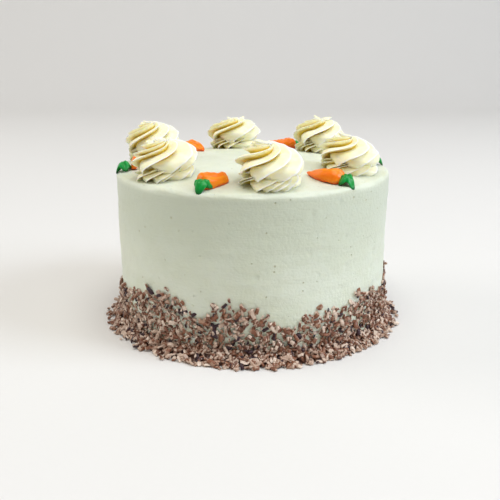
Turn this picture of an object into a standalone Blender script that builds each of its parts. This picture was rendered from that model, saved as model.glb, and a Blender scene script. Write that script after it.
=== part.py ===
"""A round carrot cake iced in cream cheese frosting.

Six piped swirls of frosting alternate with six small piped carrots near the rim, and chopped
nuts are pressed round the foot of the side. The cake stands on z = 0 and its axis is +Z.
Lengths are in metres, angles in degrees counted anticlockwise from +X as seen from above.
"""

import math

import bmesh
import bpy
import numpy as np

# --- Driving dimensions ------------------------------------------------------------------------

GAP = 0.0003                 # room left between solids that touch

CAKE_RADIUS = 0.1065         # iced radius just under the top edge
FOOT_RADIUS = 0.1058         # the side leans in a little towards the foot
EDGE_HEIGHT = 0.1203         # where the top would meet the side, had the edge no rounding
EDGE_ROUND = 0.0050
CROWN = 0.0065               # the top's middle stands this much above its edge
CAKE_STEPS = 72
TOP_SHARES = (0.4, 0.75, 1.0)        # rings of corners on the top, as shares of its radius
ROUNDING_ANGLES = (30, 60, 90)       # and round the edge
EDGE_REACH = 0.4                     # share of the rounding that the carrots follow

TEETH = 7                    # ribs that the star nozzle leaves on a swirl
COLUMNS_PER_RIB = 4

CARROT_SIDES = 12
CARROT_LEAN_IN = 38                  # angle below the widest point at which a root meets the top
CARROT_SHARES = (0.03, 0.10, 0.22, 0.39, 0.56, 0.73, 0.90, 0.96, 0.99)   # its sections along it
SHOULDER = 0.16                      # share of the root that its round thick end takes
TIP = 0.10                           # share that its rounded tip takes
NARROWING = 0.58                     # how much narrower the tip is
NARROWING_POWER = 1.3
END_LEVELS = (0.4, 0.15)             # heights of its two end points, as shares of its height
LEAF_LOBES = 3
LEAF_COLUMNS = 21
LEAF_DIP = 0.9                       # height of the dip between the lobes, as a share
# Rings of a leaf: reach and height as shares
LEAF_RINGS = ((0.78, 0.0), (1.0, 0.34), (0.84, 0.80), (0.42, 1.0))

NUT_STEPS = 120
NUT_CLEARANCE = 0.00036      # room between nuts and side, with some for the side's flat facets
NUT_THICKNESS = 0.0042       # of the nuts that stick to the side
NUT_UPPER_THICKNESS = 0.00315
NUT_HEAP_HEIGHT = 0.0035     # of the rim of the heap at the foot
NUT_HEAP_LEAN = 0.9          # reach of that rim as a share of the foot's
NUT_LIP = 0.0012             # the band's outer top edge stands this much above its inner one
NUT_LEVELS = (0.30, 0.66)    # rings of corners up the band, as shares of its height
NUT_TOP_ROUGHNESS = 0.0016
NUT_FOOT_ROUGHNESS = 0.0010
NUT_BULGE = 0.0006
NUT_FOOT = 0.0100            # how far the nuts spread at the cake's foot
NUT_FOOT_SWING = 0.0012      # they spread less far at the left and right
NUT_SEED = 5

# Swirls: angle and distance from the axis, width, height, turn of the ribs, and lean of the tip in
# X and Y
SWIRLS = (
    (-139.5, 0.0824, 0.0490, 0.0265, 10, -0.006, 0.001),
    (165.4, 0.0832, 0.0465, 0.0310, 35, -0.009, 0.000),
    (101.4, 0.0836, 0.0480, 0.0265, -8, 0.004, 0.002),
    (-81.9, 0.0830, 0.0490, 0.0285, 22, -0.008, -0.002),
    (44.2, 0.0803, 0.0460, 0.0290, 0, 0.001, 0.003),
    (-24.6, 0.0792, 0.0480, 0.0250, 16, -0.004, 0.002),
)

# Carrots: place of the root's thick end and of its tip, sideways bend, lift of the tip, and then
# place of the greens and direction of one of their lobes
CARROTS = (
    (-0.0380, -0.0895, -0.0185, -0.0745, -0.0030, 0.0000, -0.0340, -0.0925, 12),
    (-0.0935, -0.0210, -0.0660, -0.0150, 0.0020, 0.0000, -0.0975, -0.0220, 50),
    (-0.0595, 0.0690, -0.0425, 0.0450, 0.0020, 0.0000, -0.0625, 0.0745, 125),
    (0.0370, 0.0875, 0.0135, 0.0730, 0.0020, 0.0040, 0.0420, 0.0910, 40),
    (0.0935, 0.0075, 0.0690, 0.0030, -0.0020, 0.0000, 0.0975, 0.0085, -5),
    (0.0655, -0.0735, 0.0395, -0.0545, 0.0025, 0.0010, 0.0655, -0.0760, 40),
)
CARROT_HALF_WIDTH = 0.0066
CARROT_HEIGHT = 0.0100
LEAF_REACH = 0.0074
LEAF_HEIGHT = 0.0088

# Upper outline of the nuts: angle and height above the base
NUT_OUTLINE = (
    (-180, 0.030), (-158, 0.034), (-132, 0.040), (-121, 0.042), (-109, 0.031), (-102, 0.043),
    (-91, 0.040), (-77, 0.024), (-65, 0.036), (-52, 0.033), (-42, 0.042), (-24, 0.034),
    (0, 0.041), (22, 0.035), (44, 0.043), (66, 0.030), (88, 0.039), (108, 0.044), (132, 0.033),
    (156, 0.041),
)

# Colours
CREAM = (0.90, 0.88, 0.72)
BUTTERCREAM = (0.93, 0.89, 0.70)
CARROT_ORANGE = (0.87, 0.28, 0.02)
LEAF_GREEN = (0.01, 0.28, 0.05)
NUT_BROWN = (0.32, 0.17, 0.11)


# --- Helpers -----------------------------------------------------------------------------------

def clear_scene():
    for item in list(bpy.data.objects):
        bpy.data.objects.remove(item, do_unlink=True)


def make_material(name, colour, roughness):
    material = bpy.data.materials.new(name)
    material.use_nodes = True
    shader = material.node_tree.nodes["Principled BSDF"]
    shader.inputs["Base Color"].default_value = (*colour, 1.0)
    shader.inputs["Roughness"].default_value = roughness
    shader.inputs["Metallic"].default_value = 0.0
    return material


def place_solid(name, mesh_data, material, location=(0.0, 0.0, 0.0)):
    """Puts a finished bmesh into the scene as one named object, its faces turned outwards."""
    bmesh.ops.recalc_face_normals(mesh_data, faces=mesh_data.faces)
    mesh = bpy.data.meshes.new(name)
    mesh_data.to_mesh(mesh)
    mesh_data.free()
    mesh.materials.append(material)
    mesh.shade_smooth()
    mesh.set_sharp_from_angle(angle=math.radians(50))
    solid = bpy.data.objects.new(name, mesh)
    solid.location = location
    bpy.context.scene.collection.objects.link(solid)
    return solid


def loft(loops, first_pole=None, last_pole=None):
    """Skins a row of closed loops of equal length. With poles the ends close in fans of triangles;
    without them the last loop is joined to the first, which gives a ring."""
    mesh_data = bmesh.new()
    rings = [[mesh_data.verts.new(point) for point in loop] for loop in loops]
    pairs = list(zip(rings, rings[1:]))
    if first_pole is None:
        pairs.append((rings[-1], rings[0]))
    for lower, upper in pairs:
        for i in range(len(lower)):
            j = (i + 1) % len(lower)
            mesh_data.faces.new((lower[i], lower[j], upper[j], upper[i]))
    for pole, ring in ((first_pole, rings[0]), (last_pole, rings[-1])):
        if pole is not None:
            centre = mesh_data.verts.new(pole)
            for i in range(len(ring)):
                mesh_data.faces.new((ring[i], ring[(i + 1) % len(ring)], centre))
    return mesh_data


def circle_angles(count):
    return np.arange(count) * (2 * math.pi / count)


def crown_height(x, y):
    """Height of the cake's top: a shallow paraboloid, highest at the axis."""
    flat_radius = CAKE_RADIUS - EDGE_ROUND
    return EDGE_HEIGHT + CROWN * (1 - (x * x + y * y) / flat_radius**2)


def side_radius(z):
    """Radius of the side at a height: it leans in evenly towards the foot."""
    return FOOT_RADIUS + (CAKE_RADIUS - FOOT_RADIUS) * z / EDGE_HEIGHT


def edge_drop(x, y):
    """How far the rounded edge has fallen below the line of the top, where its rounding starts."""
    past = np.clip(np.hypot(x, y) - (CAKE_RADIUS - EDGE_ROUND), 0.0, EDGE_ROUND * EDGE_REACH)
    return EDGE_ROUND - np.sqrt(EDGE_ROUND**2 - past**2)


def settle(points, origin_x, origin_y, over_edge=False):
    """Sets points given about a place on the top onto the top itself, a gap above it. Over the edge
    they also follow the rounding."""
    settled = np.array(points, float)
    x, y = origin_x + settled[:, 0], origin_y + settled[:, 1]
    settled[:, 2] += crown_height(x, y) + GAP
    if over_edge:
        settled[:, 2] -= edge_drop(x, y)
    return settled


# --- Iced cake ---------------------------------------------------------------------------------

def cake_profile():
    """Radius and height from the middle of the top, over the rounded edge, down to the foot."""
    flat_radius = CAKE_RADIUS - EDGE_ROUND
    points = []
    for share in TOP_SHARES:
        radius = flat_radius * share
        points.append((radius, crown_height(radius, 0.0)))
    for degrees in ROUNDING_ANGLES:
        turn = math.radians(degrees)
        radius = flat_radius + EDGE_ROUND * math.sin(turn)
        points.append((radius, EDGE_HEIGHT - EDGE_ROUND * (1 - math.cos(turn))))
    points.append((FOOT_RADIUS, 0.0))
    return points


def build_cake(material):
    angles = circle_angles(CAKE_STEPS)
    loops = [[(r * math.cos(a), r * math.sin(a), z) for a in angles] for r, z in cake_profile()]
    top = (0.0, 0.0, crown_height(0.0, 0.0))
    return place_solid("cake_body", loft(loops, top, (0.0, 0.0, 0.0)), material)


# --- Piped swirls ------------------------------------------------------------------------------

# From foot to tip: radius and height as shares, depth of the grooves as a share of the radius,
# and how far round the ribs have climbed
SWIRL_PROFILE = (
    (0.74, 0.00, 0.09, -25),
    (0.89, 0.08, 0.15, 0),
    (0.99, 0.24, 0.16, 28),
    (0.98, 0.42, 0.15, 52),
    (0.88, 0.60, 0.15, 78),
    (0.68, 0.76, 0.15, 106),
    (0.43, 0.88, 0.11, 138),
    (0.20, 0.95, 0.06, 172),
)
LEAN_START = 0.5      # share of the height from which a swirl leans over
TIP_LEAN = 1.1        # the tip leans this much further than the last ring


def rib_depth(angles):
    """0 on a rib's crest and 1 in the groove between two ribs: the size of a half-speed sine."""
    return np.abs(np.sin(angles * TEETH / 2))


def build_swirl(name, material, angle, distance, width, height, turn, lean_x, lean_y):
    x0 = distance * math.cos(math.radians(angle))
    y0 = distance * math.sin(math.radians(angle))
    angles = circle_angles(TEETH * COLUMNS_PER_RIB)
    loops = []
    for radius_share, height_share, depth_share, climb in SWIRL_PROFILE:
        spin = math.radians(climb + turn)
        radius = width / 2 * (radius_share - depth_share * rib_depth(angles))
        lean = max(0.0, height_share - LEAN_START) / (1 - LEAN_START)
        rows = np.stack([
            radius * np.cos(angles + spin) + lean_x * lean**2,
            radius * np.sin(angles + spin) + lean_y * lean**2,
            np.full(len(angles), height * height_share),
        ], axis=1)
        loops.append(settle(rows, x0, y0))
    foot = settle([(0.0, 0.0, 0.0)], x0, y0)[0]
    tip = settle([(lean_x * TIP_LEAN, lean_y * TIP_LEAN, height)], x0, y0)[0]
    return place_solid(name, loft(loops, foot, tip), material, (x0, y0, 0.0))


# --- Piped carrots -----------------------------------------------------------------------------

def carrot_section(half_width, height):
    """A drop of icing cut across: round above and flat where it sits, as 2-D points."""
    angles = np.radians(np.linspace(-CARROT_LEAN_IN, 180 + CARROT_LEAN_IN, CARROT_SIDES))
    base = math.sin(math.radians(CARROT_LEAN_IN))
    return half_width * np.cos(angles), height * (np.sin(angles) + base) / (1 + base)


def carrot_taper(share):
    """Width of the root along its length: round at the thick end, slim at the tip."""
    shoulder = math.sqrt(1 - (1 - min(share / SHOULDER, 1)) ** 2)
    tip = math.sqrt(1 - max((share - 1 + TIP) / TIP, 0) ** 2)
    return shoulder * tip * (1 - NARROWING * share**NARROWING_POWER)


def leaf_loops(size):
    """Three rounded lobes that meet in a small dip, as loops about the leaf's middle."""
    angles = circle_angles(LEAF_COLUMNS)
    outline = LEAF_REACH * (0.50 + 0.50 * np.abs(np.cos(angles * LEAF_LOBES / 2)) ** 1.2)
    loops = []
    for reach, level in LEAF_RINGS:
        radius = outline * reach + size
        height = LEAF_HEIGHT * level + size * (2 * level - 1)
        loops.append(np.stack([radius * np.cos(angles), radius * np.sin(angles),
                               np.full(len(angles), height)], axis=1))
    return loops


def build_leaf(name, material, x0, y0, turn, size=0.0):
    """The greens at the root's thick end. With a size above zero the shape is that much larger all
    round, and serves as the cutter for the root."""
    turned = []
    for loop in leaf_loops(size):
        x = loop[:, 0] * math.cos(turn) - loop[:, 1] * math.sin(turn)
        y = loop[:, 0] * math.sin(turn) + loop[:, 1] * math.cos(turn)
        turned.append(settle(np.stack([x, y, loop[:, 2]], axis=1), x0, y0, over_edge=True))
    foot = settle([(0.0, 0.0, -size)], x0, y0, over_edge=True)[0]
    dip = settle([(0.0, 0.0, LEAF_HEIGHT * LEAF_DIP + size)], x0, y0, over_edge=True)[0]
    return place_solid(name, loft(turned, foot, dip), material, (x0, y0, 0.0))


def build_root(name, material, x0, y0, x1, y1, bend, lift):
    """The orange root: sections carried along a gentle curve from the thick end to the tip."""
    length = math.hypot(x1 - x0, y1 - y0)
    along = np.array([(x1 - x0) / length, (y1 - y0) / length])
    across = np.array([-along[1], along[0]])
    loops = []
    for share in CARROT_SHARES:
        taper = carrot_taper(share)
        side, up = carrot_section(CARROT_HALF_WIDTH * taper, CARROT_HEIGHT * taper)
        centre = along * length * share + across * (bend * 4 * share * (1 - share))
        points = np.stack([
            centre[0] + across[0] * side,
            centre[1] + across[1] * side,
            up + lift * max(0.0, share - 0.5) ** 2 * 4,
        ], axis=1)
        loops.append(settle(points, x0, y0, over_edge=True))
    ends = []
    for share, level in zip((0.0, 1.0), END_LEVELS):
        spot = along * length * share
        point = (spot[0], spot[1], CARROT_HEIGHT * level + lift * share)
        ends.append(settle([point], x0, y0, over_edge=True)[0])
    return place_solid(name, loft(loops, ends[0], ends[1]), material, (x0, y0, 0.0))


def cut_away(solid, cutter):
    """Cuts the cutter's shape out of the solid and keeps the cutter out of sight."""
    modifier = solid.modifiers.new("leaf_pocket", "BOOLEAN")
    modifier.operation = "DIFFERENCE"
    modifier.solver = "EXACT"
    modifier.object = cutter
    cutter.hide_render = True
    cutter.display_type = "WIRE"


def build_carrot(number, orange, green, x0, y0, x1, y1, bend, lift, leaf_x, leaf_y, lobe):
    root = build_root(f"carrot_{number}", orange, x0, y0, x1, y1, bend, lift)
    turn = math.radians(lobe)
    build_leaf(f"leaf_{number}", green, leaf_x, leaf_y, turn)
    cut_away(root, build_leaf(f"leaf_cutter_{number}", green, leaf_x, leaf_y, turn, size=GAP))


# --- Nuts --------------------------------------------------------------------------------------

def nut_height(angles):
    """Height of the nuts round the side, eased smoothly from one outline point to the next."""
    knots = np.array(NUT_OUTLINE + ((NUT_OUTLINE[0][0] + 360, NUT_OUTLINE[0][1]),), float)
    turned = (np.degrees(angles) + 180) % 360 - 180
    place = np.searchsorted(knots[:, 0], turned, side="right") - 1
    share = (turned - knots[place, 0]) / (knots[place + 1, 0] - knots[place, 0])
    ease = share * share * (3 - 2 * share)
    return knots[place, 1] * (1 - ease) + knots[place + 1, 1] * ease


def build_nuts(material):
    """A ring of nuts against the side: thick at the foot, thin and ragged at its upper outline. The
    foot's outline repeats after half a turn, so the cake's axis stays in the middle of its box."""
    rough = np.random.default_rng(NUT_SEED)
    angles = circle_angles(NUT_STEPS)
    top = nut_height(angles) + rough.uniform(-NUT_TOP_ROUGHNESS, NUT_TOP_ROUGHNESS, NUT_STEPS)
    foot = NUT_FOOT - NUT_FOOT_SWING * np.cos(2 * angles)
    half_foot = rough.uniform(-NUT_FOOT_ROUGHNESS, NUT_FOOT_ROUGHNESS, NUT_STEPS // 2)
    foot = foot + np.tile(half_foot, 2)
    ground = np.zeros(NUT_STEPS)
    against = np.full(NUT_STEPS, NUT_CLEARANCE)
    rows = [(against, ground), (foot, ground), (foot * NUT_HEAP_LEAN, ground + NUT_HEAP_HEIGHT)]
    for level in NUT_LEVELS:
        rows.append((NUT_THICKNESS + rough.uniform(-NUT_BULGE, NUT_BULGE, NUT_STEPS), top * level))
    rows.append((NUT_UPPER_THICKNESS + rough.uniform(-NUT_BULGE, NUT_BULGE, NUT_STEPS), top))
    rows.append((against, top - NUT_LIP))
    loops = []
    for depth, height in rows:
        radius = side_radius(height) + depth
        loops.append(np.stack([radius * np.cos(angles), radius * np.sin(angles), height], axis=1))
    return place_solid("nut_band", loft(loops), material)


# --- The whole cake ----------------------------------------------------------------------------

def main():
    clear_scene()
    build_cake(make_material("cream_cheese_icing", CREAM, 0.55))
    buttercream = make_material("piped_buttercream", BUTTERCREAM, 0.5)
    for number, swirl in enumerate(SWIRLS, 1):
        build_swirl(f"swirl_{number}", buttercream, *swirl)
    orange = make_material("orange_icing", CARROT_ORANGE, 0.35)
    green = make_material("green_icing", LEAF_GREEN, 0.35)
    for number, carrot in enumerate(CARROTS, 1):
        build_carrot(number, orange, green, *carrot)
    build_nuts(make_material("chopped_nuts", NUT_BROWN, 0.7))


main()
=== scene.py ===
"""Looks of a carrot cake iced in cream cheese frosting, with piped swirls, piped carrots and nuts.

Laid out as an add-on and run as a script. Lengths are in metres, and angles in degrees count
anticlockwise from +X as seen from above. Every new piece is a grid of points worked out with
numpy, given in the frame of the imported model, whose boxes say where each piece goes.
"""

import math

import bpy
import numpy as np
from bpy.props import FloatProperty, FloatVectorProperty, IntProperty, PointerProperty
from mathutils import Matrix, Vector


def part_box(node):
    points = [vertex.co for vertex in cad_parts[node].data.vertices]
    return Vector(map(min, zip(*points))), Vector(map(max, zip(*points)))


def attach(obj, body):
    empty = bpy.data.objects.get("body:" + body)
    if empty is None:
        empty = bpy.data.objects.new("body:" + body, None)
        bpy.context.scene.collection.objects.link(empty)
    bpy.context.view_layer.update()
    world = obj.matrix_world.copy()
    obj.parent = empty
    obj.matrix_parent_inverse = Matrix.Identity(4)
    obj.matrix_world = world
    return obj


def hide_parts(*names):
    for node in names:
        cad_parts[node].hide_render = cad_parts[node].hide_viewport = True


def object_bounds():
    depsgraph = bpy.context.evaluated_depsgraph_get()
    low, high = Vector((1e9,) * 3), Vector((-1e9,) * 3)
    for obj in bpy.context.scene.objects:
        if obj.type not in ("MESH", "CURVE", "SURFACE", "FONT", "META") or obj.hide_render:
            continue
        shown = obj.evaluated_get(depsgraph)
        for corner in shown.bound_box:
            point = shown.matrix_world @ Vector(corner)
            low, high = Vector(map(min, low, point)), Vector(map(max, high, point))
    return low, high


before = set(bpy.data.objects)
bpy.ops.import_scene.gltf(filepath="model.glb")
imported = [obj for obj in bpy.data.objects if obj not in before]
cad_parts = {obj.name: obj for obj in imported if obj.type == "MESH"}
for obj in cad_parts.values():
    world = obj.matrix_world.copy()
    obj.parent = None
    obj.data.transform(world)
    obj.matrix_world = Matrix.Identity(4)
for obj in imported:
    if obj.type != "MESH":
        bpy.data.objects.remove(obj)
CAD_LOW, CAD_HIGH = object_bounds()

bl_info = {
    "name": "Carrot cake",
    "version": (1, 0, 0),
    "blender": (4, 5, 0),
    "location": "3D View > Sidebar > Carrot cake",
    "description": "Makes an iced carrot cake with piped swirls, piped carrots and chopped nuts",
    "category": "Add Mesh",
}

BODY = "root"
FULL_TURN = 2 * math.pi
MM = 0.001

# Swirls, by their node: turn of the ribs, direction in which the top is fullest, seed of the
# unevenness, and the torn fins at the top, each as direction, height as a share of the swirl's,
# length, width and rise of its end in millimetres, and tilt
SWIRLS = {
    "swirl_1": (10, 178, 11, ((176, 0.87, 15.0, 7.2, 2.6, -24), (168, 0.96, 10.5, 5.0, 2.2, -10),
                              (35, 0.94, 6.0, 4.0, 2.4, 0))),
    "swirl_2": (35, 165, 12, ((172, 0.90, 15.0, 7.0, 3.0, -12), (190, 0.96, 10.0, 5.2, 2.6, 0))),
    "swirl_3": (-8, 20, 13, ((30, 0.91, 12.0, 5.6, 3.0, 14), (150, 0.94, 8.0, 4.0, 2.0, -10))),
    "swirl_4": (22, 180, 14, ((178, 0.83, 17.0, 8.0, 1.6, -28), (172, 0.92, 13.5, 6.2, 2.4, -16),
                              (182, 0.96, 12.0, 5.2, 2.6, 0))),
    "swirl_5": (0, 10, 15, ((12, 0.92, 12.5, 7.4, 3.4, 12), (-14, 0.83, 15.0, 7.0, 1.0, 24),
                            (120, 0.94, 7.0, 5.0, 3.0, 0))),
    "swirl_6": (16, 176, 16, ((180, 0.81, 17.0, 7.8, 1.4, -28), (172, 0.91, 13.5, 6.0, 2.2, -14),
                              (186, 0.96, 10.5, 5.0, 2.6, 0))),
}

# Carrots, by number: sideways bend, lift of the tip and height of the cross ridges in millimetres,
# width of the tip as a share, direction of one lobe of the greens, and seed of their unevenness
CARROTS = {
    1: (-2.6, 0.0, 0.04, 0.56, 12, 21),
    2: (2.0, 0.0, 0.04, 0.35, 50, 22),
    3: (2.0, 0.0, 0.06, 0.22, 125, 23),
    4: (2.4, 4.4, 0.14, 0.34, 40, 24),
    5: (-2.0, 0.0, 0.06, 0.30, -5, 25),
    6: (3.0, 1.2, 0.04, 0.12, 75, 26),
}


# --- Numbers and grids ---

def linear(code):
    """Turns an sRGB hex colour into linear light: the sRGB curve, channel by channel."""
    shares = [int(code[i:i + 2], 16) / 255 for i in (1, 3, 5)]
    return tuple(s / 12.92 if s <= 0.04045 else ((s + 0.055) / 1.055) ** 2.4 for s in shares)


def through(knots, x):
    """A smooth line through knots: between two of them a cubic that has at each the slope of the line
    from the knot before to the knot after."""
    at, value = np.array(knots, float).T
    slope = np.gradient(value, at)
    place = np.clip(np.searchsorted(at, x, side="right") - 1, 0, len(at) - 2)
    width = at[place + 1] - at[place]
    share = np.clip((x - at[place]) / width, 0, 1)
    rise = share * share * (3 - 2 * share)
    return (value[place] * (1 - rise) + value[place + 1] * rise
            + width * share * (1 - share) * ((1 - share) * slope[place] - share * slope[place + 1]))


def ripple(points, size, seed, waves=14):
    """Smooth unevenness of about -1 to 1: a sum of cosine waves in random directions, with lengths
    near the given size. The size may be one number or one for each axis."""
    chance = np.random.default_rng(seed)
    direction = chance.normal(size=(waves, 3))
    direction /= np.linalg.norm(direction, axis=1, keepdims=True)
    length = chance.uniform(0.7, 1.5, (waves, 1)) * np.broadcast_to(size, 3)
    phase = chance.uniform(0, FULL_TURN, waves)
    turned = np.asarray(points) @ (direction / length).T * FULL_TURN + phase
    return np.cos(turned).sum(-1) * math.sqrt(1 / waves)


def polar(radius, angle, height):
    """Points round the axis: the radius times the cosine and the sine of the angle, and the height."""
    return np.stack(np.broadcast_arrays(radius * np.cos(angle), radius * np.sin(angle), height), axis=-1)


def node_points(name):
    """The corners of a CAD node as rows of x, y and z."""
    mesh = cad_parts[name].data
    flat = np.empty(len(mesh.vertices) * 3, np.float32)
    mesh.vertices.foreach_get("co", flat)
    return np.unique(flat.reshape(-1, 3).round(6), axis=0).astype(float)


def grid_faces(rows, columns, poles):
    """Faces of a grid that closes round its columns, as arrays of quads and triangles. With poles,
    two more points close its ends, the first after the last grid point and the other after that;
    without, its last row joins its first. Rows run upwards, columns anticlockwise."""
    place = np.arange(rows * columns).reshape(rows, columns)
    right = np.roll(place, -1, axis=1)
    quads = np.stack([place[:-1], right[:-1], right[1:], place[1:]], axis=-1).reshape(-1, 4)
    if not poles:
        wrap = np.stack([place[-1], right[-1], right[0], place[0]], axis=-1)
        return [np.concatenate([quads, wrap])]
    first, last = np.full(columns, rows * columns), np.full(columns, rows * columns + 1)
    below = np.stack([right[0], place[0], first], axis=-1)
    above = np.stack([place[-1], right[-1], last], axis=-1)
    return [quads, below, above]


class Shell:
    """Points, faces and marks that are gathered for one piece."""

    def __init__(self, *marks):
        self.points, self.faces, self.marks, self.count = [], [], {mark: [] for mark in marks}, 0

    def add(self, grid, poles=True, **marks):
        """Adds a grid of rows by columns by 3. With poles, the mean of each end row closes it there.
        Each mark is a number for each point, and at a pole it is the mean of the end row."""
        rows, columns = grid.shape[:2]
        ends = [0, -1] if poles else []
        self.points.append(np.concatenate([grid.reshape(-1, 3), grid[ends].mean(axis=1)]))
        for block in grid_faces(rows, columns, poles):
            self.faces += (block + self.count).tolist()
        for mark, values in self.marks.items():
            field = np.broadcast_to(marks[mark], (rows, columns)).astype(float)
            values.append(np.concatenate([field.ravel(), field[ends].mean(axis=1)]))
        self.count += len(self.points[-1])

    def finish(self, name, material, node):
        """Makes the piece that stands for a node, as one mesh."""
        mesh = bpy.data.meshes.new(name)
        mesh.from_pydata(np.concatenate(self.points), [], self.faces)
        for mark, values in self.marks.items():
            store_mark(mesh, mark, "POINT", np.concatenate(values))
        place_piece(name, mesh, material, node)


def store_mark(mesh, name, domain, values):
    """Keeps one number for each point or face in the mesh, for its material to read."""
    mesh.attributes.new(name, "FLOAT", domain).data.foreach_set("value", values.astype(np.float32))


def place_piece(name, mesh, material, node, smooth=True):
    """Puts a finished mesh at the origin as a piece that rides on the body and stands for a node."""
    mesh.materials.append(material)
    mesh.polygons.foreach_set("use_smooth", np.full(len(mesh.polygons), smooth))
    mesh.update()
    piece = bpy.data.objects.new(name, mesh)
    bpy.context.scene.collection.objects.link(piece)
    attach(piece, BODY)
    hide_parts(node)


# --- Materials ---

EASED = {"interpolation_type": "SMOOTHSTEP"}  # makes a Map Range node ease at both ends
MIX_A, MIX_B = 6, 7  # a Mix node's colour inputs
COLOURS = {"output": 2, "data_type": "RGBA"}  # makes a Mix node mix colours
# The last mark, low, sets a painted shade towards the icing under a piece
ROOT_MARKS = "side", "along", "low"  # of carrots and greens: across, along and down towards the icing


def feed(tree, node, inputs):
    """Gives a node its inputs, each a value or an output to link."""
    for key, value in inputs.items():
        if isinstance(value, bpy.types.NodeSocket):
            tree.links.new(value, node.inputs[key])
        else:
            node.inputs[key].default_value = value


def add(tree, kind, inputs, output=0, **settings):
    """Adds a shader node with its inputs and its settings, and returns one of its outputs."""
    made = tree.nodes.new("ShaderNode" + kind)
    for key, value in settings.items():
        setattr(made, key, value)
    feed(tree, made, inputs)
    return made.outputs[output]


def start_material(name):
    """A new material with its tree, its Principled shader and the Object coordinates."""
    material = bpy.data.materials.new(name)
    material.use_nodes = True
    tree = material.node_tree
    return material, tree, tree.nodes["Principled BSDF"], add(tree, "TexCoord", {}, "Object")


def paint(colour):
    """A colour as a colour socket takes it, with full opacity."""
    return (*colour, 1.0)


def fade(tree, value, low, high, first, second, most=1.0):
    """Goes from the first colour to the second as the value goes from low to high, eased at both ends
    and held beyond them. Most is the second colour's largest share."""
    ends = {"From Min": low, "From Max": high, "To Max": most}
    share = add(tree, "MapRange", {"Value": value, **ends}, **EASED)
    return add(tree, "Mix", {0: share, MIX_A: first, MIX_B: second}, **COLOURS)


def cream_cheese_icing(settings):
    """Cream cheese frosting smoothed with a palette knife: satin and a little translucent, with a
    painted shade in a band just below the rim, faint drag lines, and the pinholes of burst air
    bubbles, each with a painted shade in it."""
    material, tree, shader, where = start_material("cream_cheese_icing")
    cloud = add(tree, "TexNoise", {"Vector": where, "Scale": 1 / (30 * MM)})
    clouded = fade(tree, cloud, 0.38, 0.62, paint(settings.cream), paint(settings.cream_shade))
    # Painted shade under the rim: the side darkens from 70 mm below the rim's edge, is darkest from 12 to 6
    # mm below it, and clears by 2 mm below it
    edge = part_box("cake_body")[1].z - settings.crown
    height = add(tree, "SeparateXYZ", {"Vector": where}, "Z")
    rising = add(tree, "MapRange", {"Value": height, "From Min": edge - 70 * MM, "From Max": edge - 12 * MM},
                 **EASED)
    falling = add(tree, "MapRange", {"Value": height, "From Min": edge - 6 * MM, "From Max": edge - 2 * MM,
                                     "To Min": 1.0, "To Max": 0.0}, **EASED)
    rim_shade_share = add(tree, "Math", {0: rising, 1: falling}, operation="MULTIPLY")
    base = add(tree, "Mix", {0: rim_shade_share, MIX_A: clouded, MIX_B: paint(settings.rim_shade_colour)}, **COLOURS)
    # Pinholes of burst air bubbles, each given a painted olive shade inside it, of random strength
    distance = add(tree, "TexVoronoi", {"Vector": where, "Scale": 1 / (5 * MM)}, "Distance")
    chance = add(tree, "SeparateColor", {"Color": distance.node.outputs["Color"]}, "Red")
    reach = add(tree, "MapRange", {"Value": chance, "From Min": 0.30, "To Max": 0.19})
    inside = add(tree, "Math", {0: reach, 1: distance}, operation="SUBTRACT")
    pit = add(tree, "MapRange", {"Value": inside, "From Max": 0.06}, **EASED)
    strength = add(tree, "MapRange", {"Value": chance.node.outputs["Green"], "From Min": 0.3, "From Max": 0.9,
                                      "To Min": 0.05, "To Max": 0.45}, **EASED)
    pit_shade_share = add(tree, "Math", {0: pit, 1: strength}, operation="MULTIPLY")
    pit_shaded = add(tree, "Mix", {0: pit_shade_share, MIX_A: base, MIX_B: paint(settings.pit_shade)}, **COLOURS)
    grain = add(tree, "TexNoise", {"Vector": where, "Scale": 1 / (2.2 * MM), "Detail": 3.0})
    soft = add(tree, "Bump", {"Height": grain, "Distance": 0.7 * MM, "Strength": 0.60})
    flat = add(tree, "Mapping", {"Vector": where, "Scale": (1.0, 1.0, 7.0)})
    drag = add(tree, "TexNoise", {"Vector": flat, "Scale": 1 / (9 * MM), "Detail": 4.0})
    dragged = add(tree, "Bump", {"Height": drag, "Distance": 0.45 * MM, "Strength": 0.50, "Normal": soft})
    hollow = add(tree, "Math", {0: 1.0, 1: pit}, operation="SUBTRACT")
    pitted = add(tree, "Bump", {"Height": hollow, "Distance": 0.9 * MM, "Strength": 1.0, "Normal": dragged})
    feed(tree, shader, {"Base Color": pit_shaded, "Normal": pitted, "Roughness": 0.48, "IOR": 1.45,
                        "Subsurface Weight": 0.25, "Subsurface Scale": 4 * MM,
                        "Subsurface Radius": (1.0, 0.85, 0.55)})
    return material


def piped_buttercream(settings):
    """Whipped buttercream pushed through a star nozzle, with a painted near-white highlight on its thin
    lips and a painted yellow shade deep in its grooves, standing in for light bounced about in them."""
    material, tree, shader, where = start_material("piped_buttercream")
    hollow, lip = (add(tree, "Attribute", {}, "Fac", attribute_name=mark) for mark in ("hollow", "lip"))
    cloud = add(tree, "TexNoise", {"Vector": where, "Scale": 1 / (7 * MM)})
    band = fade(tree, cloud, 0.3, 0.7, paint(settings.band), paint(settings.band_light))
    # Painted shade: the grooves turn yellow, standing in for light bounced about in them
    groove_shaded = fade(tree, hollow, 0.15, 0.95, band, paint(settings.groove))
    # Painted highlight: the thin lips turn nearly white
    lip_highlighted = fade(tree, lip, 0.3, 0.95, groove_shaded, paint(settings.lip))
    air = add(tree, "TexNoise", {"Vector": where, "Scale": 1 / (1.1 * MM), "Detail": 3.0})
    grain = add(tree, "Bump", {"Height": air, "Distance": 0.12 * MM, "Strength": 0.35})
    feed(tree, shader, {"Base Color": lip_highlighted, "Normal": grain, "Roughness": 0.42, "IOR": 1.45,
                        "Subsurface Weight": 0.5, "Subsurface Scale": 1.4 * MM,
                        "Subsurface Radius": (1.0, 0.85, 0.40)})
    return material


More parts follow.
